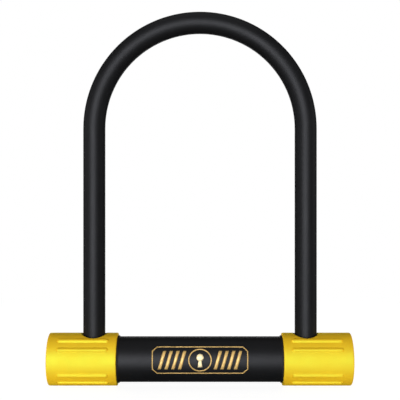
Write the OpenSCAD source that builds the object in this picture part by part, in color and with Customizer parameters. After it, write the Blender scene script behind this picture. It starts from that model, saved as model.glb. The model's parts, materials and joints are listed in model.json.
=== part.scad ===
// Bicycle U lock: a hardened steel shackle whose two feet drop into a crossbar and are caught
// there by a rotating locking tube, which a disc detainer cylinder in the right end turns.
// Frame: X along the crossbar towards the key end, Z up the shackle's legs, origin on the
// ground under the middle of the crossbar. Millimetres.

/* [Shackle] */
// Clear width between the two legs
inner_w = 115; // [110:1:130]
// Height of the bend's centre above the crossbar's axis
leg_h = 140; // [80:1:240]
// Diameter of the hardened steel bar
steel_d = 12; // [11.6:0.1:12]
// Thickness of the vinyl coat on the bar
coat_t = 0.7; // [0.4:0.1:0.8]

/* [Crossbar] */
// Outside diameter of the steel tube
tube_d = 25.4; // [25.2:0.1:25.6]
// Bore of the steel tube
tube_bore = 19.6; // [19.6:0.1:20]
// Thickness of the vinyl sleeve between the bumpers
sleeve_t = 1; // [0.8:0.1:1.2]
// Length from a leg's centre to the end of its bumper
overhang = 27.1; // [27:0.1:29]

/* [Bumpers] */
// Outside diameter of a bumper
bumper_d = 31.7; // [31:0.1:34]
// Length of a bumper
bumper_len = 41.5; // [39:0.1:42]
// How far a grip rib stands out of its bumper
rib_h = 1; // [0.4:0.1:1]
// Angle of the two inner grip ribs of each side above and below the horizontal
rib_inner_a = 29; // [20:0.5:35]
// Angle of the two outer grip ribs of each side above and below the horizontal
rib_outer_a = 52.5; // [46:0.5:56]

/* [Locking tube] */
// Outside diameter of the rotating locking tube
lock_d = 18.4; // [18.2:0.1:18.6]
// Bore of the rotating locking tube
lock_bore = 14.6; // [14.5:0.1:14.6]
// Width left in a shackle foot between its two notches
neck_w = 8; // [7:0.1:8]

/* [Lock cylinder] */
// Thickness of a detainer disc
disc_t = 1.1; // [1:0.05:1.1]
// Thickness of a spacer between two discs
spacer_t = 0.35; // [0.3:0.05:0.35]
// Width of the keyway
keyway_w = 7.2; // [6.6:0.1:7.4]
// Thickness of the keyway
keyway_t = 2.4; // [2:0.1:2.6]

/* [Hidden] */
$fn = 96;
cut = 1;        // how far a cutting shape runs past what it cuts
fit = 0.05;     // gap between two pieces that are fitted together
run = 0.05;     // radial gap of a turning fit
slack = 0.1;    // gap all round a sliding fit

axis_z = bumper_d / 2;
steel_r = steel_d / 2;
coat_r = steel_r + coat_t;
bend_r = inner_w / 2 + coat_r;
leg_x = bend_r;
tube_r = tube_d / 2;
bore_r = tube_bore / 2;
sleeve_r = tube_r + sleeve_t;
bumper_r = bumper_d / 2;
end_x = leg_x + overhang;
bumper_x = end_x - bumper_len;
tube_x = end_x - 3.3;
collar_w = 1.1;   // along the crossbar
collar_h = 0.5;   // above the sleeve
rib_r = 1.5;
rib_angles = [-rib_outer_a, -rib_inner_a, rib_inner_a, rib_outer_a];

leg_hole_r = steel_r + 0.2;
bumper_hole_r = coat_r + 0.9;
coat_z = tube_r + 0.3;

lock_r = lock_d / 2;
lock_in_r = lock_bore / 2;
lock_x = leg_x + 9.9;
bush_t = 3;
head_z = 3.9;
neck_z = lock_r + 0.2;
foot_z = -4.8;
foot_chamfer = 1.2;
slot_w = neck_w + 0.4;
slot_side = asin(steel_r / lock_in_r) + 3;
key_angle = 90;

coupling_t = 2.8;
coupling_x = lock_x - coupling_t;
coupling_pin_r = 0.8;
tongue = [3, 7.6];
tongue_gap = 0.2;
core_r = 6.45;
core_in_r = 5.3;
core_x = lock_x + 2.1;
core_wall = 1.5;
tail_r = 4;
// Angle between each detainer disc's gate and its keyway.
bitting = [0, 36, 18, 54, 36, 18];
pack_x = core_x + core_wall + fit;
disc_r = core_in_r - fit;
disc_pitch = disc_t + spacer_t;
plate_x = pack_x + len(bitting) * disc_pitch - spacer_t + fit;
plate_t = 1;
clip_x = plate_x + plate_t + fit;
clip_t = 0.45;
bar_size = [1.6, 2.1];
bar_slot = bar_size[0] + 2 * slack;
slot_z = 3;
spacer_bore_r = 4;
gate_r = 4.2;
pin_x = leg_x + 16.9;
pin_r = 1.5;
stop_x = core_x + 4.5;
stop_r = 1.2;

cap_r = 13.2;
cap_x = tube_x + 0.15;
cap_end = end_x - 0.2;
shutter_off = 4;
shutter_r = 8.6;
shutter_x = cap_x + 1.25;
shutter_t = 0.8;
ring_x = shutter_x + shutter_t + 0.1;
window_r = 7.8;
aperture_r = 3.9;
screw_at = [9.6, -4.5];
screw_r = 0.9;
screw_l = 2.5;
head_r = 1.55;
head_t = 0.7;

// Local Z becomes X, local X becomes Y and local Y becomes Z, about the crossbar's axis.
module along_x(x = 0) translate([x, 0, axis_z]) rotate([90, 0, 90]) children();

module rod_x(r, x1, x2) along_x(x1) cylinder(r = r, h = x2 - x1);

module ring_along_x(r_out, r_in, x1, x2) {
    difference() {
        rod_x(r_out, x1, x2);
        rod_x(r_in, x1 - cut, x2 + cut);
    }
}

// Part of a ring, from angle a1 to a2, counted from +Y towards +Z.
module arc_x(r_out, r_in, x1, x2, a1, a2) {
    along_x() rotate([0, 0, a1]) rotate_extrude(angle = a2 - a1)
        translate([r_in, x1]) square([r_out - r_in, x2 - x1]);
}

// A rod that stands on the crossbar's axis at x, leaning by angle a from +Y towards +Z.
module spoke(r, x, a, r1, r2) {
    translate([x, 0, axis_z]) rotate([a - 90, 0, 0]) translate([0, 0, r1]) cylinder(r = r, h = r2 - r1);
}

module both_ends() {
    children();
    mirror([1, 0, 0]) children();
}

// ---- Shackle ----

// The bent bar at radius r, with its legs ending z above the crossbar's axis.
module u_shape(r, z) {
    translate([0, 0, axis_z + leg_h]) rotate([90, 0, 0])
        rotate_extrude(angle = 180) translate([bend_r, 0]) circle(r = r);
    both_ends() translate([leg_x, 0, axis_z + z]) cylinder(r = r, h = leg_h - z);
}

// One of the two flat notches that the locking tube's slot closes round.
module foot_notch() {
    translate([neck_w / 2, -steel_d, axis_z + head_z]) cube([steel_d, 2 * steel_d, neck_z - head_z]);
}

module shackle_bar() {
    color("slategray") difference() {
        union() {
            u_shape(steel_r, foot_z + foot_chamfer);
            both_ends() translate([leg_x, 0, axis_z + foot_z])
                cylinder(r1 = steel_r - foot_chamfer, r2 = steel_r, h = foot_chamfer);
        }
        both_ends() translate([leg_x, 0, 0]) both_ends() foot_notch();
    }
}

module shackle_coating() {
    color("#1c1c1e") difference() {
        u_shape(coat_r, coat_z);
        u_shape(steel_r, coat_z - cut);
    }
}

// ---- Crossbar shell ----

module crossbar_tube() {
    color("dimgray") difference() {
        ring_along_x(tube_r, bore_r, -tube_x, tube_x);
        both_ends() spoke(leg_hole_r, leg_x, 90, steel_r, tube_r + cut);
        both_ends() for (a = [0, 180]) spoke(pin_r, pin_x, a, steel_r, tube_r + cut);
    }
}

module crossbar_sleeve() {
    color("#161617") ring_along_x(sleeve_r, tube_r + fit, -bumper_x, bumper_x);
}

// One grip rib with round ends, lying along the bumper's surface.
module grip_rib(a) {
    inward = 9.7;
    outward = 21.1;
    rib_x1 = leg_x - inward + rib_r;
    rib_x2 = leg_x + outward - rib_r;
    along_x() rotate([0, 0, a]) translate([bumper_r + rib_h - rib_r, 0, 0]) {
        translate([0, 0, rib_x1]) cylinder(r = rib_r, h = rib_x2 - rib_x1, $fn = 32);
        for (x = [rib_x1, rib_x2]) translate([0, 0, x]) sphere(r = rib_r, $fn = 32);
    }
}

// The bumper's outline as [radius, x], with both outer edges broken.
module bumper_profile() {
    edge = 0.7;
    inner_edge = 0.4;
    polygon([
        [tube_r + fit, bumper_x],
        [bumper_r - inner_edge, bumper_x],
        [bumper_r, bumper_x + inner_edge],
        for (a = [0 : 15 : 90]) [bumper_r - edge + edge * cos(a), end_x - edge + edge * sin(a)],
        [cap_r + fit, end_x],
        [cap_r + fit, cap_x],
        [tube_r + fit, cap_x]
    ]);
}

module bumper() {
    color("#f2c811") difference() {
        union() {
            along_x() rotate_extrude() bumper_profile();
            for (a = rib_angles) for (side = [0, 180]) grip_rib(a + side);
        }
        spoke(bumper_hole_r, leg_x, 90, steel_r, bumper_r + cut);
    }
}

module right_bumper() bumper();

module left_bumper() mirror([1, 0, 0]) bumper();

// Soft ring round the sleeve that seals its joint with the bumper.
module collar() {
    r_in = sleeve_r + fit;
    slope = 0.3;
    color("#0d0d0e") along_x() rotate_extrude() polygon([
        [r_in, bumper_x - collar_w],
        [r_in + collar_h - slope, bumper_x - collar_w],
        [r_in + collar_h, bumper_x - collar_w + slope],
        [r_in + collar_h, bumper_x],
        [r_in, bumper_x]
    ]);
}

module right_collar() collar();

module left_collar() mirror([1, 0, 0]) collar();

// ---- Locking tube ----

// The way in for a foot, and the narrower slot that closes round its neck as the tube turns.
module keyhole_slot() {
    slot_end = 90 - key_angle - slot_side;
    spoke(leg_hole_r, leg_x, 90, steel_r / 2, lock_r + cut);
    arc_x(lock_r + cut, steel_r / 2, leg_x - slot_w / 2, leg_x + slot_w / 2, slot_end, 90);
}

module locking_tube() {
    color("silver") difference() {
        ring_along_x(lock_r, lock_in_r, -lock_x, lock_x);
        keyhole_slot();
        mirror([1, 0, 0]) keyhole_slot();
        coupling_pin_places(coupling_pin_r, steel_r, lock_r + cut);
    }
}

module right_bush() {
    color("ivory") ring_along_x(bore_r - fit, lock_r + run, lock_x - bush_t, lock_x);
}

module left_bush() mirror([1, 0, 0]) right_bush();

// The two pins that hold the drive coupling in the locking tube.
module coupling_pin_places(r, r1, r2) {
    for (a = [0, 180]) spoke(r, coupling_x + coupling_t / 2, a, r1, r2);
}

module drive_coupling() {
    color("gray") difference() {
        rod_x(lock_in_r - fit, coupling_x, lock_x);
        translate([coupling_x - cut, -tongue[0] / 2 - slack, axis_z - tongue[1] / 2 - slack])
            cube([coupling_t + 2 * cut, tongue[0] + 2 * slack, tongue[1] + 2 * slack]);
        coupling_pin_places(coupling_pin_r, 3, lock_r);
    }
}

module coupling_pins() {
    color("lightsteelblue") coupling_pin_places(coupling_pin_r - fit / 2, 3.2, lock_r - 0.15);
}

module end_plug() {
    color("gray") difference() {
        rod_x(bore_r - fit, -tube_x, -lock_x - 0.6);
        for (a = [0, 180]) spoke(pin_r, -pin_x, a, -cut, tube_r);
    }
}

module plug_pin() {
    color("lightsteelblue") spoke(pin_r - fit / 2, -pin_x, 0, 0.2 - tube_r, tube_r - 0.2);
}

// ---- Lock cylinder ----

module cylinder_housing() {
    x1 = lock_x + 0.6;
    groove = 2;
    color("darkkhaki") difference() {
        rod_x(bore_r - fit, x1, tube_x);
        rod_x(core_r + run, core_x - fit, tube_x + cut);
        rod_x(tail_r + run, x1 - cut, core_x);
        translate([pack_x, -core_r - 0.9, axis_z - groove / 2]) cube([plate_x - pack_x, 3, groove]);
        for (a = [0, 180]) spoke(pin_r, pin_x, a, 8, tube_r);
        spoke(stop_r, stop_x, -90, steel_r, tube_r);
    }
}

module housing_pins() {
    color("lightsteelblue") for (a = [0, 180]) spoke(pin_r - fit / 2, pin_x, a, 8.1, tube_r - 0.2);
}

// Rides in the core's groove, so that the core turns no further than its two stops.
module stop_pin() {
    color("lightsteelblue") spoke(stop_r - fit / 2, stop_x, -90, 5.75, bore_r - 0.1);
}

module cylinder_core() {
    groove_end = asin((stop_r + slack) / core_in_r) + 0.5;
    color("goldenrod") difference() {
        union() {
            rod_x(core_r, core_x, tube_x);
            rod_x(tail_r, core_x - core_wall, core_x + fit);
            translate([coupling_x + tongue_gap, -tongue[0] / 2, axis_z - tongue[1] / 2])
                cube([core_x - core_wall - coupling_x, tongue[0], tongue[1]]);
        }
        rod_x(core_in_r, core_x + core_wall, tube_x + cut);
        rod_x(core_in_r + 0.3, clip_x - fit, clip_x + clip_t + fit);
        translate([pack_x, -bar_slot / 2, axis_z + slot_z])
            cube([plate_x - pack_x, bar_slot, core_r]);
        arc_x(core_r + cut, core_in_r + 0.35, stop_x - stop_r - slack, stop_x + stop_r + slack,
              -90 - key_angle - groove_end, -90 + groove_end);
    }
}

// A slot for the key, turned by angle a about the crossbar's axis.
module keyway_cut(a, x1, x2) {
    along_x(x1 - cut) rotate([0, 0, a]) translate([-keyway_w / 2, -keyway_t / 2, 0])
        cube([keyway_w, keyway_t, x2 - x1 + 2 * cut]);
}

function disc_x(i) = pack_x + (i - 1) * disc_pitch;

module detainer_disc(i) {
    x1 = disc_x(i);
    color("peru") difference() {
        rod_x(disc_r, x1, x1 + disc_t);
        keyway_cut(bitting[i - 1], x1, x1 + disc_t);
        translate([x1 - cut, -bar_slot / 2, axis_z + gate_r]) cube([disc_t + 2 * cut, bar_slot, disc_r]);
    }
}

module disc_spacers() {
    color("tan") for (i = [1 : len(bitting) - 1]) difference() {
        ring_along_x(disc_r, spacer_bore_r, disc_x(i) + disc_t, disc_x(i + 1));
        translate([disc_x(i), -bar_slot / 2, axis_z + slot_z]) cube([disc_pitch + cut, bar_slot, disc_r]);
    }
}

module sidebar() {
    color("silver") translate([pack_x + slack, -bar_size[0] / 2, axis_z + gate_r + slack])
        cube([plate_x - pack_x - 2 * slack, bar_size[0], bar_size[1]]);
}

module anti_drill_plate() {
    color("lightgray") difference() {
        rod_x(disc_r, plate_x, plate_x + plate_t);
        keyway_cut(0, plate_x, plate_x + plate_t);
    }
}

module core_circlip() {
    color("dimgray") arc_x(core_in_r + 0.25, core_in_r - 0.8, clip_x, clip_x + clip_t, 110, 430);
}

// ---- End fittings ----

module blank_cap() {
    groove_r = [9.8, 10.6];
    groove_d = 0.5;
    color("#18181a") mirror([1, 0, 0]) difference() {
        rod_x(cap_r, cap_x, cap_end);
        ring_along_x(groove_r[1], groove_r[0], cap_end - groove_d, cap_end + cut);
    }
}

// Places its children on the shutter's own axis, which lies above the crossbar's.
module on_shutter_axis() translate([0, 0, shutter_off]) children();

module keyhole_bezel() {
    color("#18181a") difference() {
        rod_x(cap_r, cap_x, ring_x);
        rod_x(aperture_r, cap_x - cut, ring_x + cut);
        on_shutter_axis() rod_x(shutter_r + run, shutter_x - run, ring_x + cut);
        bezel_screw_places(cap_end) rotate([0, 90, 0])
            translate([0, 0, -screw_l - fit - slack]) cylinder(r = screw_r, h = screw_l);
    }
}

module bezel_screw_places(x) {
    for (side = [-1, 1]) translate([x, side * screw_at[0], axis_z + screw_at[1]]) children();
}

module bezel_ring() {
    color("#18181a") difference() {
        rod_x(cap_r, ring_x + fit, cap_end);
        on_shutter_axis() rod_x(window_r, ring_x - cut, cap_end + cut);
        bezel_screw_places(cap_end) rotate([0, 90, 0]) {
            translate([0, 0, -head_t - fit])
                cylinder(r1 = screw_r + fit, r2 = head_r + 3 * fit, h = head_t + 2 * fit);
            translate([0, 0, -screw_l - fit]) cylinder(r = screw_r + fit, h = screw_l + cut);
        }
    }
}

module bezel_screws() {
    drive = [2, 0.4, 0.4];
    color("gray") bezel_screw_places(cap_end - fit) rotate([0, 90, 0]) difference() {
        union() {
            translate([0, 0, -head_t]) cylinder(r1 = screw_r - fit, r2 = head_r, h = head_t);
            translate([0, 0, -screw_l]) cylinder(r = screw_r - fit, h = screw_l);
        }
        for (a = [0, 90]) rotate([0, 0, a])
            translate([-drive[0] / 2, -drive[1] / 2, -drive[2]]) cube([drive[0], drive[1], drive[2] + cut]);
    }
}

// Closed: its hole is turned away from the keyway. Half a turn brings the hole over the keyway.
module dust_shutter() {
    grip = [0.7, 5, 1.6];
    grip_drop = 6.2;
    color("#2a2a2d") difference() {
        union() {
            on_shutter_axis() rod_x(shutter_r, shutter_x, shutter_x + shutter_t);
            translate([shutter_x + shutter_t - fit, -grip[1] / 2, axis_z + shutter_off - grip_drop])
                cube([grip[0] + fit, grip[1], grip[2]]);
        }
        translate([0, 0, 2 * shutter_off]) rod_x(aperture_r, shutter_x - cut, shutter_x + shutter_t + cut);
    }
}

shackle_bar();
shackle_coating();
crossbar_tube();
crossbar_sleeve();
left_bumper();
right_bumper();
left_collar();
right_collar();
locking_tube();
left_bush();
right_bush();
end_plug();
plug_pin();
drive_coupling();
coupling_pins();
cylinder_housing();
housing_pins();
stop_pin();
cylinder_core();
detainer_disc(1);  // disc_1
detainer_disc(2);  // disc_2
detainer_disc(3);  // disc_3
detainer_disc(4);  // disc_4
detainer_disc(5);  // disc_5
detainer_disc(6);  // disc_6
disc_spacers();
sidebar();
anti_drill_plate();
core_circlip();
blank_cap();
keyhole_bezel();
bezel_ring();
bezel_screws();
dust_shutter();
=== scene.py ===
"""Looks of the bicycle U lock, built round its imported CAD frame. Metres, in the CAD frame."""
import json
import math

import bmesh
import bpy
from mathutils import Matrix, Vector


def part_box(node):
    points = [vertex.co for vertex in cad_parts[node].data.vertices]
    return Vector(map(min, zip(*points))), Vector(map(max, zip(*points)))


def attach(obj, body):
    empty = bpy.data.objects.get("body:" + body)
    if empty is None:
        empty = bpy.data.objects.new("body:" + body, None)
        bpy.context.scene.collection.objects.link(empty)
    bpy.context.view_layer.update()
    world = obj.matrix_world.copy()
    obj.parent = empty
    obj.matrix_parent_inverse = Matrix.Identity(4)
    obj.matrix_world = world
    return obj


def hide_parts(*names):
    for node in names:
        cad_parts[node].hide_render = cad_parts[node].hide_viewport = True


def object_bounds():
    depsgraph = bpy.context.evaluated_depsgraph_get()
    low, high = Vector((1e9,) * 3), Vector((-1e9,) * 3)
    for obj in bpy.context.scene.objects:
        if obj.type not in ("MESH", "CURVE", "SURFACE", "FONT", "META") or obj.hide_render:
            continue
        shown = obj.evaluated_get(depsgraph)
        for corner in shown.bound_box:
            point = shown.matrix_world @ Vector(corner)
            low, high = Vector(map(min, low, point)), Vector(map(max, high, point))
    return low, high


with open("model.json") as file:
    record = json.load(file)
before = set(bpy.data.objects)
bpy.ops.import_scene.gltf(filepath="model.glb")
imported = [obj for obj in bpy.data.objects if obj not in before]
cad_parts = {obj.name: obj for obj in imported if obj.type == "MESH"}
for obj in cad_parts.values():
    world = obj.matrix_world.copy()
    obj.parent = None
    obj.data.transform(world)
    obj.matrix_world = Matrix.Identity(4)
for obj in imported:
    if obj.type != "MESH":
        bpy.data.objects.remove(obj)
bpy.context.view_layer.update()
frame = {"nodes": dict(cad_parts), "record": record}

# ---------------------------------------------------------------- sizes

MM = 0.001
SKIN_GAP = 0.05 * MM    # between a shell and what it covers

sleeve_lo, sleeve_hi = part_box("crossbar_sleeve")
coat_lo, coat_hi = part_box("shackle_coating")
steel_lo, steel_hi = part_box("shackle_bar")
tube_lo, tube_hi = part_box("crossbar_tube")
bumper_lo, bumper_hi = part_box("right_bumper")
collar_lo, collar_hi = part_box("right_collar")
bezel_lo, bezel_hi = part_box("keyhole_bezel")
cap_lo, cap_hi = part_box("blank_cap")

AXIS_Z = (sleeve_lo.z + sleeve_hi.z) / 2
COAT_R = (coat_hi.y - coat_lo.y) / 2
STEEL_R = (steel_hi.y - steel_lo.y) / 2
TUBE_R = (tube_hi.y - tube_lo.y) / 2
SLEEVE_R = (sleeve_hi.y - sleeve_lo.y) / 2
COLLAR_R = (collar_hi.z - collar_lo.z) / 2
BUMPER_R = (bumper_hi.y - bumper_lo.y) / 2
CAP_R = (bezel_hi.y - bezel_lo.y) / 2
LEG_X = coat_hi.x - COAT_R
BEND_Z = coat_hi.z - COAT_R - LEG_X

BUMPER_BORE_R = TUBE_R + SKIN_GAP
LEG_HOLE_R = COAT_R + 0.9 * MM
LEG_HOLE_RIM = 0.6 * MM

RIB_ANGLES = (-52.5, -29.0, 29.0, 52.5)
RIB_H = 1.0 * MM
RIB_R = 1.5 * MM
RIB_ROOT = 0.16 * MM
RIB_X = (LEG_X - 8.2 * MM, LEG_X + 19.6 * MM)    # centres of a rib's round ends

# A bumper's skin is woven round its leg hole in a patch: half its length, and half its angle.
PATCH_X = 8.6 * MM
PATCH_ANGLE = 31.8
PATCH_STEPS = 18


# ---------------------------------------------------------------- mesh helpers

def new_object(name, verts, faces, smooth=True):
    """A mesh object from vertices and faces, with its normals turned outwards."""
    mesh = bpy.data.meshes.new(name)
    mesh.from_pydata(verts, [], faces)
    bm = bmesh.new()
    bm.from_mesh(mesh)
    bmesh.ops.remove_doubles(bm, verts=bm.verts, dist=1e-7)
    bmesh.ops.recalc_face_normals(bm, faces=bm.faces)
    bm.to_mesh(mesh)
    bm.free()
    for polygon in mesh.polygons:
        polygon.use_smooth = smooth
    obj = bpy.data.objects.new(name, mesh)
    bpy.context.scene.collection.objects.link(obj)
    return obj


def on_axis(x, radius, angle):
    """The point at x, radius and angle round the crossbar. Angle 0 faces the viewer, 90 is up."""
    a = math.radians(angle)
    return (x, -radius * math.cos(a), AXIS_Z + radius * math.sin(a))


def arc(cx, cr, radius, start, end, steps):
    """Points (x, r) of an arc in the profile plane, from angle start to end in degrees."""
    turns = [math.radians(start + (end - start) * i / steps) for i in range(steps + 1)]
    return [(cx + radius * math.cos(t), cr + radius * math.sin(t)) for t in turns]


def loops_to_faces(count, size):
    """Quads between count closed loops of size vertices, the last loop joined to the first."""
    faces = []
    for i in range(count):
        a, b = i * size, (i + 1) % count * size
        for k in range(size):
            m = (k + 1) % size
            faces.append((a + k, a + m, b + m, b + k))
    return faces


def lathe(name, profile, segments=128, mirror=False):
    """Turns a closed profile of (x, r) points round the crossbar's axis."""
    side = -1 if mirror else 1
    verts = [on_axis(side * x, r, 360 * s / segments) for s in range(segments) for x, r in profile]
    return new_object(name, verts, loops_to_faces(segments, len(profile)))


def with_neighbours(points):
    """Each point of a closed outline with the ones before and after it, as vectors."""
    ring = [Vector(p) for p in points]
    return zip(ring, ring[-1:] + ring[:-1], ring[1:] + ring[:1])


def rounded(points, radius, steps=4):
    """A closed profile whose corners are curves, each cutting radius off both its sides."""
    out = []
    for p, before, after in with_neighbours(points):
        to_before, to_after = before - p, after - p
        cut = min(radius, to_before.length * 0.45, to_after.length * 0.45)
        start, end = p + to_before.normalized() * cut, p + to_after.normalized() * cut
        for k in range(steps + 1):
            t = k / steps
            q = start * (1 - t) ** 2 + p * 2 * t * (1 - t) + end * t ** 2
            out.append((q.x, q.y))
    return out


def soften(obj, width):
    """Rounds an object's sharp edges by width and shades them smoothly."""
    bevel = obj.modifiers.new("edges", "BEVEL")
    bevel.width = width
    bevel.segments = 2
    bevel.limit_method = "ANGLE"
    bevel.angle_limit = math.radians(35)
    bevel.harden_normals = True
    for polygon in obj.data.polygons:
        polygon.use_smooth = True


def add(obj, body, material, slot, *replaced):
    """Gives a piece its material and its body, and hides the CAD nodes that it stands for. The
    slot is not used.
    """
    obj.data.materials.clear()
    obj.data.materials.append(material)
    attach(obj, body)
    if replaced:
        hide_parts(*replaced)


# ---------------------------------------------------------------- materials

def shades(tone, *factors):
    """The tone, made darker or lighter by each factor."""
    return [tuple(min(t * factor, 1) for t in tone) for factor in factors]


class Nodes:
    """Short forms for building a material's nodes."""

    def __init__(self, name):
        self.material = bpy.data.materials.new(name)
        self.material.use_nodes = True
        self.tree = self.material.node_tree
        self.shader = self.tree.nodes["Principled BSDF"]
        self.place = self.node("ShaderNodeTexCoord").outputs["Object"]

    def node(self, kind, **settings):
        """A new node. Settings are properties of the node or values of its sockets."""
        made = self.tree.nodes.new(kind)
        for key, value in settings.items():
            if hasattr(made, key):
                setattr(made, key, value)
            else:
                made.inputs[key].default_value = value
        return made

    def link(self, a, b):
        self.tree.links.new(a, b)

    def set(self, **values):
        """Sets the shader's sockets, with _ for each space in a name."""
        for key, value in values.items():
            self.shader.inputs[key.replace("_", " ")].default_value = value

    def stretched(self, scale):
        """Object coordinates, scaled by (x, y, z)."""
        mapping = self.node("ShaderNodeMapping", Scale=scale)
        self.link(self.place, mapping.inputs["Vector"])
        return mapping.outputs["Vector"]

    def noise(self, scale, detail, rough, stretch=None):
        made = self.node("ShaderNodeTexNoise", Scale=scale, Detail=detail, Roughness=rough)
        self.link(self.stretched(stretch) if stretch else self.place, made.inputs["Vector"])
        return made.outputs["Fac"]

    def cells(self, scale):
        made = self.node("ShaderNodeTexVoronoi", feature="F1", Scale=scale)
        self.link(self.place, made.inputs["Vector"])
        return made.outputs["Distance"]

    def ramp(self, source, low, high, start=0.3, end=0.7):
        """Maps source between start and end to a number or a colour between low and high."""
        if isinstance(low, tuple):
            made = self.node("ShaderNodeValToRGB")
            stops = made.color_ramp.elements
            stops[0].position, stops[1].position = start, end
            stops[0].color, stops[1].color = (*low, 1), (*high, 1)
            self.link(source, made.inputs["Fac"])
            return made.outputs["Color"]
        made = self.node("ShaderNodeMapRange")
        limits = {"From Min": start, "From Max": end, "To Min": low, "To Max": high}
        for socket, value in limits.items():
            made.inputs[socket].default_value = value
        self.link(source, made.inputs["Value"])
        return made.outputs["Result"]

    def math(self, operation, a, b):
        made = self.node("ShaderNodeMath", operation=operation)
        for socket, value in zip(made.inputs, (a, b)):
            if isinstance(value, (int, float)):
                socket.default_value = value
            else:
                self.link(value, socket)
        return made.outputs["Value"]

    def blend(self, share, a, b):
        """Colour a where share is 0 and the fixed colour b where it is 1."""
        made = self.node("ShaderNodeMix", data_type="RGBA")
        self.link(share, made.inputs["Factor"])
        self.link(a, made.inputs[6])
        made.inputs[7].default_value = (*b, 1)
        return made.outputs[2]

    def mix_shaders(self, share, a, b):
        made = self.node("ShaderNodeMixShader")
        for socket, source in zip(made.inputs, (share, a, b)):
            self.link(source, socket)
        return made.outputs[0]

    def colour(self, source):
        self.link(source, self.shader.inputs["Base Color"])

    def roughness(self, source):
        self.link(source, self.shader.inputs["Roughness"])

    def bump(self, *layers):
        """Stacks (height, distance in metres, strength) layers of bump."""
        normal = None
        for height, distance, strength in layers:
            made = self.node("ShaderNodeBump", Strength=strength, Distance=distance)
            self.link(height, made.inputs["Height"])
            if normal:
                self.link(normal, made.inputs["Normal"])
            normal = made.outputs["Normal"]
        self.link(normal, self.shader.inputs["Normal"])


def vinyl(name, tone, pebble):
    """Black vinyl: a faint orange-peel skin with cloudy gloss and a few fine scuffs."""
    n = Nodes(name)
    n.set(IOR=1.48, Specular_IOR_Level=0.29, Specular_Tint=(0.90, 0.92, 1.0, 1.0))
    dark, light, scuffed = shades(tone, 0.82, 1.2, 2.2)
    cloud = n.noise(45, 4, 0.6)
    scuff = n.ramp(n.noise(900, 2, 0.5, stretch=(1, 1, 0.05)), 0.0, 1.0, 0.70, 0.80)
    n.colour(n.blend(n.math("MULTIPLY", scuff, 0.35), n.ramp(cloud, dark, light), scuffed))
    n.roughness(n.math("ADD", n.ramp(cloud, 0.50, 0.55), n.math("MULTIPLY", scuff, 0.08)))
    n.bump((n.noise(pebble, 2, 0.4), 0.06 * MM, 0.5), (n.noise(260, 3, 0.5), 0.06 * MM, 0.4))
    return n.material


def yellow_plastic():
    """Moulded yellow plastic with a fine spark-eroded grain and slightly cloudy colour."""
    n = Nodes("yellow_plastic")
    n.set(IOR=2.36, Specular_IOR_Level=1.0, Specular_Tint=(0.41, 1.0, 0.11, 1.0))
    colour = n.ramp(n.noise(60, 4, 0.6), (0.77, 0.347, 0.003), (0.83, 0.371, 0.003))
    speck = n.ramp(n.noise(2600, 1, 0.5), 0.0, 0.5, 0.55, 0.75)
    n.colour(n.blend(speck, colour, (0.73, 0.328, 0.003)))
    n.roughness(n.ramp(n.noise(160, 3, 0.6), 0.62, 0.68))
    n.bump((n.noise(2600, 3, 0.6), 0.05 * MM, 0.5), (n.noise(700, 2, 0.5), 0.05 * MM, 0.3))
    return n.material


def moulded(name, tone, rough, grain=2400, gloss=0.45):
    """Fine-textured moulded plastic or rubber."""
    n = Nodes(name)
    n.set(IOR=1.49, Specular_IOR_Level=gloss)
    dark, light = shades(tone, 0.8, 1.25)
    n.colour(n.ramp(n.noise(90, 3, 0.6), dark, light))
    n.roughness(n.ramp(n.noise(220, 3, 0.6), rough - 0.05, rough + 0.07))
    n.bump((n.cells(grain), 0.03 * MM, 0.35), (n.noise(grain * 0.4, 2, 0.5), 0.03 * MM, 0.25))
    return n.material


def metal(name, tone, rough, stretch, patina=0.75):
    """Machined metal: fine tool marks, drawn out as stretch says, under a dull patina."""
    n = Nodes(name)
    n.set(Metallic=1.0)
    marks = n.noise(1800, 3, 0.6, stretch)
    stain = n.noise(130, 4, 0.6)
    dark, light, stained = shades(tone, 0.86, 1.08, patina)
    n.colour(n.blend(n.ramp(stain, 0.0, 0.6, 0.45, 0.8), n.ramp(marks, dark, light), stained))
    n.roughness(n.math("ADD", n.ramp(marks, rough - 0.06, rough + 0.08), n.ramp(stain, 0.0, 0.1)))
    n.bump((marks, 0.02 * MM, 0.35), (n.noise(900, 2, 0.5), 0.02 * MM, 0.2))
    return n.material


def natural_nylon():
    """Creamy, slightly translucent and waxy."""
    n = Nodes("nylon")
    n.set(IOR=1.53, Subsurface_Weight=0.2, Subsurface_Scale=2 * MM)
    n.colour(n.ramp(n.noise(150, 3, 0.6), (0.72, 0.69, 0.58), (0.84, 0.82, 0.74)))
    n.roughness(n.ramp(n.noise(500, 3, 0.5), 0.34, 0.46))
    n.bump((n.noise(1600, 2, 0.5), 0.02 * MM, 0.3))
    return n.material


def print_ink(name, tone, gleam):
    """Screen-printed metallic ink with slightly uneven cover."""
    n = Nodes(name)
    n.set(Metallic=gleam, IOR=1.5)
    cover = n.noise(700, 4, 0.6)
    thin, full = shades(tone, 0.78, 1.0)
    n.colour(n.ramp(cover, thin, full, 0.3, 0.6))
    n.roughness(n.ramp(cover, 0.52, 0.36))
    n.bump((n.noise(2200, 2, 0.6), 0.01 * MM, 0.3))
    return n.material


# Tool marks are drawn out along the axes with small scales: along the crossbar, up the legs,
# or round a turned piece.
ALONG_X = (0.06, 1, 1)
ALONG_Z = (1, 1, 0.06)
ROUND_X = (1, 0.25, 0.25)

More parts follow.
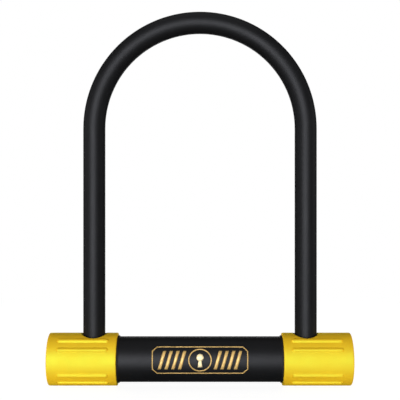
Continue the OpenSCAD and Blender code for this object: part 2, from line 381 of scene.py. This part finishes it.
MATERIALS = {
    "vinyl_coat": vinyl("vinyl_coat", (0.0032, 0.0032, 0.0034), 1500),
    "vinyl_sleeve": vinyl("vinyl_sleeve", (0.0028, 0.0028, 0.0030), 1900),
    "yellow_plastic": yellow_plastic(),
    # collar_rubber is near black: painted shade for the dark band at each bumper's inner end.
    "collar_rubber": moulded("collar_rubber", (0.006, 0.006, 0.006), 0.62, grain=1800, gloss=0.25),
    "black_plastic": moulded("black_plastic", (0.014, 0.014, 0.015), 0.48),
    "shutter_plastic": moulded("shutter_plastic", (0.032, 0.032, 0.036), 0.33, grain=3200),
    "hardened_steel": metal("hardened_steel", (0.30, 0.30, 0.31), 0.38, ALONG_Z),
    "machined_steel": metal("machined_steel", (0.52, 0.52, 0.53), 0.30, ROUND_X),
    "pin_steel": metal("pin_steel", (0.80, 0.80, 0.81), 0.42, ALONG_X, patina=0.92),
    "spacer_steel": metal("spacer_steel", (0.58, 0.58, 0.58), 0.30, ROUND_X),
    "cylinder_brass": metal("cylinder_brass", (0.70, 0.50, 0.20), 0.32, ROUND_X),
    "disc_brass": metal("disc_brass", (0.78, 0.58, 0.26), 0.28, ROUND_X),
    "nylon": natural_nylon(),
}


# ---------------------------------------------------------------- shackle coat

def shackle_path(end_z, bend_steps=72, leg_steps=30):
    """Centreline of the U, left foot to right foot, as (point, outward direction in its plane)."""
    rise = BEND_Z - end_z
    path = []
    for i in range(leg_steps):
        path.append((Vector((-LEG_X, 0, end_z + rise * i / leg_steps)), Vector((-1, 0, 0))))
    for i in range(bend_steps + 1):
        t = math.pi * (1 - i / bend_steps)
        outward = Vector((math.cos(t), 0, math.sin(t)))
        path.append((Vector((0, 0, BEND_Z)) + outward * LEG_X, outward))
    for i in range(1, leg_steps + 1):
        path.append((Vector((LEG_X, 0, BEND_Z - rise * i / leg_steps)), Vector((1, 0, 0))))
    return path


def lip_rings(end, outward, lip, steps=4):
    """Rings (point, outward direction, radius) that round a foot's edge, from its rim upwards."""
    rings = []
    for i in range(steps):
        t = math.pi / 2 * i / steps
        drop = Vector((0, 0, -lip * math.cos(t)))
        rings.append((end + drop, outward, COAT_R - lip * (1 - math.sin(t))))
    return rings


def make_coat():
    """The vinyl coat: one long skin over the bar, with a rounded lip at each end."""
    segments = 72
    lip = 0.25 * MM
    inner_r = STEEL_R + 0.01 * MM
    path = shackle_path(coat_lo.z + lip)
    rings = lip_rings(*path[0], lip)
    rings += [(point, outward, COAT_R) for point, outward in path]
    rings += reversed(lip_rings(*path[-1], lip))
    inside = [rings[-1][:2], *reversed(path), rings[0][:2]]
    rings += [(point, outward, inner_r) for point, outward in inside]
    across = Vector((0, 1, 0))
    verts = []
    for point, outward, radius in rings:
        for s in range(segments):
            a = 2 * math.pi * s / segments
            verts.append(point + (outward * math.cos(a) + across * math.sin(a)) * radius)
    coat = new_object("shackle_vinyl", verts, loops_to_faces(len(rings), segments))
    add(coat, "shackle", MATERIALS["vinyl_coat"], "vinyl_coat", "shackle_coating")


# ---------------------------------------------------------------- crossbar sleeve and collars

def make_sleeve():
    """The vinyl sleeve, with its long outside divided along its length."""
    end, inner = sleeve_hi.x, TUBE_R + SKIN_GAP
    edge = 0.25 * MM
    stations = 48
    corners = rounded([(-end, inner), (end, inner), (end, SLEEVE_R), (-end, SLEEVE_R)], edge)
    reach = end - 0.3 * MM
    outside = [(reach - 2 * reach * i / stations, SLEEVE_R) for i in range(stations + 1)]
    third = len(corners) * 3 // 4    # the outside follows the third of the four corners
    sleeve = lathe("crossbar_vinyl", corners[:third] + outside + corners[third:], segments=160)
    add(sleeve, "crossbar", MATERIALS["vinyl_sleeve"], "vinyl_sleeve", "crossbar_sleeve")


def make_collar(name, mirror):
    """The thin near-black ring between the sleeve and a bumper, whose dark colour is painted shade
    at the bumper's inner end.
    """
    x1, x2, inner = collar_lo.x, collar_hi.x, SLEEVE_R + SKIN_GAP
    edge = 0.22 * MM
    profile = rounded([(x1, inner), (x1, COLLAR_R), (x2, COLLAR_R), (x2, inner)], edge, steps=5)
    collar = lathe(name + "_ring", profile, segments=160, mirror=mirror)
    add(collar, "crossbar", MATERIALS["collar_rubber"], "collar_rubber", name)


# ---------------------------------------------------------------- bumpers

def rib_height(x, angle):
    """How far a bumper's skin is raised at x and angle by its grip ribs, with a soft root."""
    beyond = max(RIB_X[0] - x, x - RIB_X[1], 0)
    buried = RIB_H - RIB_R
    best = -RIB_R
    for side in (0, 180):
        for rib in RIB_ANGLES:
            turn = (angle - rib - side + 180) % 360 - 180
            d = math.hypot(BUMPER_R * math.radians(turn), beyond)
            if d < RIB_R:
                best = max(best, math.sqrt(RIB_R ** 2 - d ** 2) + buried)
    if best <= buried:
        return 0.0
    raised, base = ((h + math.hypot(h, RIB_ROOT)) / 2 for h in (best, buried))
    return raised - base


def bumper_stations():
    """Places along a bumper, close together at its ribs' round ends and across its leg hole."""
    closest = 0.09 * MM
    plain_steps, end_steps, steps_past_end = 8, 7, 3
    patch = [LEG_X - PATCH_X + 2 * PATCH_X * k / PATCH_STEPS for k in range(PATCH_STEPS + 1)]
    plain = RIB_X[1] - patch[-1]
    stations = patch + [patch[-1] + plain * k / plain_steps for k in range(1, plain_steps)]
    stations += [bumper_lo.x + 1.6 * MM, bumper_hi.x - 5 * MM, bumper_hi.x - 3.9 * MM]
    for end, outward in zip(RIB_X, (-1, 1)):
        step = outward * RIB_R / end_steps
        stations += [end + step * k for k in range(end_steps + steps_past_end)]
    kept = []
    for x in sorted(stations):
        if not kept or x - kept[-1] >= closest:
            kept.append(x)
        elif x in (patch[0], patch[-1]):
            kept[-1] = x
    return kept


def bumper_columns():
    """A bumper's section as (x, r outside, r inside), from its inner to its outer end."""
    edge, inner_edge = 0.7 * MM, 0.45 * MM
    clear, step = 0.2 * MM, 0.005 * MM
    x1, x2, step_x = bumper_lo.x, bumper_hi.x, bezel_lo.x
    counterbore_r = CAP_R + SKIN_GAP
    inner_end = arc(x1 + inner_edge, BUMPER_R - inner_edge, inner_edge, 180, 90, 5)
    outer_end = arc(x2 - edge, BUMPER_R - edge, edge, 90, 0, 7)
    middle = [x for x in bumper_stations() if x1 + inner_edge + clear < x < step_x - clear]
    columns = [(x, r, BUMPER_BORE_R) for x, r in inner_end]
    columns += [(x, BUMPER_R, BUMPER_BORE_R) for x in (*middle, step_x - step)]
    columns.append((step_x + step, BUMPER_R, counterbore_r))
    columns += [(x, r, counterbore_r) for x, r in outer_end]
    return columns


def bumper_rows():
    """Angles round a bumper, close together on its ribs and across the leg hole's patch."""
    across_rib = [0.74 * k for k in range(-9, 10)]
    plain_step, closest = 3, 1.2
    rows = [90 - PATCH_ANGLE + 2 * PATCH_ANGLE * k / PATCH_STEPS for k in range(PATCH_STEPS + 1)]
    for side in (0, 180):
        for rib in RIB_ANGLES:
            rows += [(rib + side + turn) % 360 for turn in across_rib]
    for angle in range(0, 360, plain_step):
        apart = min(abs((angle - row + 180) % 360 - 180) for row in rows)
        if abs(angle - 90) > PATCH_ANGLE and apart > closest:
            rows.append(angle)
    return sorted(rows)


def nearest(values, target):
    """The place in values of the one nearest to target."""
    return min(range(len(values)), key=lambda i: abs(values[i] - target))


class BumperMesh:
    """A thick ribbed shell with rounded ends, woven round a leg hole with a rounded rim."""

    def __init__(self):
        self.verts, self.faces = [], []
        self.columns, self.rows = bumper_columns(), bumper_rows()
        places = [x for x, _, _ in self.columns]
        self.i1, self.i2 = (nearest(places, LEG_X + side * PATCH_X) for side in (-1, 1))
        self.j1, self.j2 = (nearest(self.rows, 90 + side * PATCH_ANGLE) for side in (-1, 1))
        skins = self.skin(outside=True), self.skin(outside=False)
        for i in (0, len(self.columns) - 1):
            self.join(*([skin[i, j] for j in range(len(self.rows))] for skin in skins))
        self.join(self.leg_hole(skins[0], BUMPER_R, LEG_HOLE_RIM),
                  self.leg_hole(skins[1], BUMPER_BORE_R, rim=0.0))

    def vertex(self, x, y, z):
        self.verts.append((x, y, z))
        return len(self.verts) - 1

    def join(self, ring, other):
        """Faces between two closed rings of vertices."""
        for k in range(len(ring)):
            m = (k + 1) % len(ring)
            self.faces.append((ring[k], ring[m], other[m], other[k]))

    def skin(self, outside):
        """One side of the shell, as a grid of vertices that is open at the leg hole's patch."""
        grid = {}
        for i, (x, r_out, r_in) in enumerate(self.columns):
            for j, angle in enumerate(self.rows):
                if not (self.i1 < i < self.i2 and self.j1 < j < self.j2):
                    r = r_out + rib_height(x, angle) if outside else r_in
                    grid[i, j] = self.vertex(*on_axis(x, r, angle))
        for i in range(len(self.columns) - 1):
            for j in range(len(self.rows)):
                if not (self.i1 <= i < self.i2 and self.j1 <= j < self.j2):
                    k = (j + 1) % len(self.rows)
                    self.faces.append((grid[i, j], grid[i + 1, j], grid[i + 1, k], grid[i, k]))
        return grid

    def on_skin(self, radius, dx, y, drop=0.0):
        """A vertex (dx, y) from the leg's middle, and drop below the skin of that radius."""
        return self.vertex(LEG_X + dx, y, AXIS_Z + math.sqrt(radius ** 2 - y ** 2) - drop)

    def leg_hole(self, grid, radius, rim):
        """Fills the patch with rings from its border in to the leg hole. Returns the last ring."""
        border = [(i, self.j1) for i in range(self.i1, self.i2)]
        border += [(self.i2, j) for j in range(self.j1, self.j2)]
        border += [(i, self.j2) for i in range(self.i2, self.i1, -1)]
        border += [(self.i1, j) for j in range(self.j2, self.j1, -1)]
        rings = [[grid[b] for b in border]]
        start = [(self.verts[v][0] - LEG_X, self.verts[v][1]) for v in rings[0]]
        turns = [math.atan2(y, dx) for dx, y in start]
        edge_r = LEG_HOLE_R + rim
        for share in (0.35, 0.7, 1.0):
            rings.append([self.on_skin(radius, dx + (edge_r * math.cos(t) - dx) * share,
                                       y + (edge_r * math.sin(t) - y) * share)
                          for (dx, y), t in zip(start, turns)])
        rim_steps = 5 if rim else 0
        for k in range(1, rim_steps + 1):
            fold = math.pi / 2 * k / rim_steps
            r = LEG_HOLE_R + rim * (1 - math.sin(fold))
            drop = rim * (1 - math.cos(fold))
            rings.append([self.on_skin(radius, r * math.cos(t), r * math.sin(t), drop)
                          for t in turns])
        for ring, following in zip(rings, rings[1:]):
            self.join(ring, following)
        return rings[-1]


def make_bumper(name, shell, mirror):
    side = -1 if mirror else 1
    verts = [(side * x, y, z) for x, y, z in shell.verts]
    bumper = new_object(name + "_shell", verts, shell.faces)
    add(bumper, "crossbar", MATERIALS["yellow_plastic"], "yellow_plastic", name)


# ---------------------------------------------------------------- blank cap

def make_cap():
    """The blank cap in the left end: a dished black disc with a pressed ring."""
    back, front = -cap_hi.x, -cap_lo.x
    middle = 0.001 * MM    # a radius so small that the points on it merge
    groove, dish, edge = 0.5 * MM, 0.35 * MM, 0.3 * MM
    profile = [
        (back, middle), (back, CAP_R), (front, CAP_R), (front, 10.6 * MM),
        (front - groove, 10.4 * MM), (front - groove, 9.8 * MM), (front, 9.6 * MM),
        (front - dish, middle),
    ]
    cap = lathe("blank_cap_disc", rounded(profile, edge), mirror=True)
    add(cap, "crossbar", MATERIALS["black_plastic"], "black_plastic", "blank_cap")


# ---------------------------------------------------------------- printed mark

INK = 0.03 * MM
PRINT_ANGLE = 6.8    # degrees from the side that faces the viewer up to the mark's middle
PRINT_STEP = 0.9     # most millimetres between points, few enough to follow the bar


def along(a, b, share):
    """The point that lies a share of the way from a to b."""
    return tuple(a[d] + (b[d] - a[d]) * share for d in (0, 1))


def inset(corners, width):
    """The corners of a convex outline moved inwards by width."""
    out = []
    for p, before, after in with_neighbours(corners):
        d1, d2 = (p - before).normalized(), (after - p).normalized()
        n1, n2 = Vector((-d1.y, d1.x)), Vector((-d2.y, d2.x))
        middle = (n1 + n2).normalized()
        out.append(tuple(p + middle * (width / middle.dot(n1))))
    return out


class Print:
    """Flat shapes in millimetres, (along the bar, up round the bar), wrapped on the sleeve."""

    def __init__(self):
        self.verts, self.faces = [], []

    def point(self, u, v):
        angle = PRINT_ANGLE + math.degrees(v * MM / SLEEVE_R)
        self.verts.append(on_axis(u * MM, SLEEVE_R + INK, angle))
        return len(self.verts) - 1

    def strip(self, left, right):
        """A band between two equally long rows of points."""
        widest = max(math.dist(a, b) for a, b in zip(left, right))
        across = max(1, math.ceil(widest / PRINT_STEP))
        rows = [[self.point(*along(a, b, k / across)) for k in range(across + 1)]
                for a, b in zip(left, right)]
        for near, far in zip(rows, rows[1:]):
            for k in range(across):
                self.faces.append((near[k], near[k + 1], far[k + 1], far[k]))

    def quad(self, a, b, c, d):
        """A four-sided patch with corners a, b, c, d in order."""
        steps = max(1, math.ceil(max(math.dist(a, b), math.dist(d, c)) / PRINT_STEP))
        self.strip([along(a, b, k / steps) for k in range(steps + 1)],
                   [along(d, c, k / steps) for k in range(steps + 1)])

    def outline(self, corners, width):
        """A closed line of even width inside the corners, which run anticlockwise."""
        inner = inset(corners, width)
        for i in range(len(corners)):
            self.quad(corners[i - 1], corners[i], inner[i], inner[i - 1])

    def ring(self, v, outer, inner, steps=48):
        """A ring, or with no inner radius a disc, whose middle is v above the mark's middle."""
        turns = [2 * math.pi * k / steps for k in range(steps + 1)]
        self.strip([(inner * math.cos(t), v + inner * math.sin(t)) for t in turns],
                   [(outer * math.cos(t), v + outer * math.sin(t)) for t in turns])

    def finish(self, name, material):
        """Thickens the shapes inwards to the sleeve, and adds them as one piece."""
        sheet = new_object(name, self.verts, self.faces)
        film = sheet.modifiers.new("film", "SOLIDIFY")
        film.thickness = INK
        film.offset = -1
        graph = bpy.context.evaluated_depsgraph_get()
        mesh = bpy.data.meshes.new_from_object(sheet.evaluated_get(graph))
        sheet.modifiers.clear()
        sheet.data = mesh
        add(sheet, "crossbar", material, "vinyl_sleeve")


def make_print():
    """A generic mark where the bar carries one: a framed keyhole between slanted bars."""
    w, h, chamfer = 28.6, 8.6, 3.0    # half sizes of the frame, and what its corners lose
    corners = [(-w + chamfer, -h), (w - chamfer, -h), (w, -h + chamfer), (w, h - chamfer),
               (w - chamfer, h), (-w + chamfer, h), (-w, h - chamfer), (-w, -h + chamfer)]
    lines = Print()
    lines.outline(corners, width=0.65)
    lines.ring(0, outer=7.0, inner=6.3)
    bars, first, pitch = 4, 10.6, 4.0    # bars on each side, and where they stand
    half_w, half_h, slant = 0.95, 5.6, 1.6
    for side in (-1, 1):
        for k in range(bars):
            middle = side * (first + pitch * k)
            left, right = middle - half_w, middle + half_w
            lines.quad((left - slant, -half_h), (left + slant, half_h),
                       (right + slant, half_h), (right - slant, -half_h))
    lines.finish("mark_lines", print_ink("gold_ink", (0.62, 0.40, 0.13), 0.35))
    keyhole = Print()
    keyhole.ring(1.6, outer=2.1, inner=0.0)
    keyhole.quad((-0.75, 0.2), (-1.4, -4.2), (1.4, -4.2), (0.75, 0.2))
    keyhole.finish("mark_keyhole", print_ink("cream_ink", (0.86, 0.70, 0.40), 0.25))


# ---------------------------------------------------------------- CAD nodes that stay

EDGE_WIDTHS = {
    "keyhole_bezel": 0.15 * MM, "bezel_ring": 0.3 * MM, "bezel_screws": 0.08 * MM,
    "dust_shutter": 0.2 * MM, "anti_drill_plate": 0.1 * MM, "shackle_bar": 0.25 * MM,
}


def dress_cad_nodes():
    """Each CAD node gets its slot's material, and those that can be seen get softened edges."""
    for row in frame["record"]["subparts"]:
        node = frame["nodes"][row["node"]]
        node.data.materials.clear()
        node.data.materials.append(MATERIALS[row["material_slot"]])
        for polygon in node.data.polygons:
            polygon.material_index = 0
        if row["node"] in EDGE_WIDTHS:
            soften(node, EDGE_WIDTHS[row["node"]])


# ---------------------------------------------------------------- stage

CAMERA_PLACE = (0, -547 * MM, AXIS_Z + 96.6 * MM)
CAMERA_LENS = 81.0
LIGHT_TARGET = Vector((0, 0, 0.10))


def make_camera():
    """The photo's camera: level, square on and near enough for clear perspective."""
    camera = bpy.data.objects.new("camera", bpy.data.cameras.new("camera"))
    camera.location = CAMERA_PLACE
    camera.rotation_euler = (math.pi / 2, 0, 0)
    camera.data.lens = CAMERA_LENS
    camera.data.sensor_width = 36
    bpy.context.scene.collection.objects.link(camera)
    bpy.context.scene.camera = camera


def area_light(name, place, size, power, gloss=True):
    """A square soft light aimed at the lock's middle. Without gloss it leaves no highlight."""
    light = bpy.data.objects.new(name, bpy.data.lights.new(name, "AREA"))
    light.data.size = size
    light.data.energy = power
    light.location = place
    light.rotation_euler = (LIGHT_TARGET - Vector(place)).to_track_quat("-Z", "Y").to_euler()
    light.visible_camera = False
    light.visible_glossy = gloss
    bpy.context.scene.collection.objects.link(light)


def make_lights():
    """Soft light that comes mostly from the viewer's side."""
    area_light("key", (-0.50, -2.75, 0.16), size=2.0, power=106)
    area_light("top", (0, -0.1, 1.6), size=1.4, power=3)
    area_light("back", (0, 2.8, 0.3), size=2.0, power=85, gloss=False)
    area_light("back_gloss", (0, 2.8, 0.16), size=2.0, power=24)
    for side in (-1, 1):
        area_light("side", (side * 2.2, 0.3, 0.5), size=1.2, power=28, gloss=False)
        area_light("side_gloss", (side * 2.2, 0, 0.3), size=1.2, power=4)


def floor_paint():
    """Pale paint. The camera sees it as white, with the faintest shade near the lock."""
    n = Nodes("floor_paint")
    n.set(Roughness=0.9, Specular_IOR_Level=0.1)
    n.colour(n.ramp(n.noise(3, 2, 0.5), (0.84, 0.84, 0.84), (0.87, 0.87, 0.87)))
    shade = n.node("ShaderNodeBsdfDiffuse", Color=(0.16, 0.16, 0.16, 1))
    glow = n.node("ShaderNodeEmission", Strength=0.92)
    white = n.node("ShaderNodeEmission", Strength=1.0)
    near = n.node("ShaderNodeAddShader")
    n.link(shade.outputs[0], near.inputs[0])
    n.link(glow.outputs[0], near.inputs[1])
    distance = n.node("ShaderNodeVectorMath", operation="LENGTH")
    n.link(n.place, distance.inputs[0])
    fade = n.ramp(distance.outputs["Value"], 0.0, 1.0, start=0.15, end=0.5)
    seen = n.mix_shaders(fade, near.outputs[0], white.outputs[0])
    camera_ray = n.node("ShaderNodeLightPath").outputs["Is Camera Ray"]
    whole = n.mix_shaders(camera_ray, n.shader.outputs[0], seen)
    n.link(whole, n.tree.nodes["Material Output"].inputs["Surface"])
    return n.material


def make_floor():
    """A pale floor under the lock, which neither blocks the lights nor shows in highlights."""
    half = 6.0
    corners = [(-half, -half, 0), (half, -half, 0), (half, half, 0), (-half, half, 0)]
    floor = new_object("floor", corners, [(0, 1, 2, 3)], smooth=False)
    floor.location.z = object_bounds()[0].z
    floor.data.materials.append(floor_paint())
    floor.visible_shadow = False
    floor.visible_glossy = False


def make_world():
    """White behind everything for the camera, and nearly dark as a source of light."""
    bpy.context.scene.view_settings.view_transform = "Standard"
    world = bpy.data.worlds.new("studio")
    bpy.context.scene.world = world
    world.use_nodes = True
    tree = world.node_tree
    dim = tree.nodes["Background"]
    dim.inputs["Color"].default_value = (0.95, 0.97, 1.0, 1)
    dim.inputs["Strength"].default_value = 0.05
    white = tree.nodes.new("ShaderNodeBackground")
    white.inputs["Color"].default_value = (1, 1, 1, 1)
    camera_ray = tree.nodes.new("ShaderNodeLightPath").outputs["Is Camera Ray"]
    mix = tree.nodes.new("ShaderNodeMixShader")
    for socket, source in zip(mix.inputs, (camera_ray, dim.outputs[0], white.outputs[0])):
        tree.links.new(source, socket)
    tree.links.new(mix.outputs[0], tree.nodes["World Output"].inputs["Surface"])


dress_cad_nodes()
make_coat()
make_sleeve()
bumper_shell = BumperMesh()
for side_name, is_left in (("left", True), ("right", False)):
    make_collar(side_name + "_collar", is_left)
    make_bumper(side_name + "_bumper", bumper_shell, is_left)
make_cap()
make_print()
make_camera()
make_world()
make_floor()
make_lights()
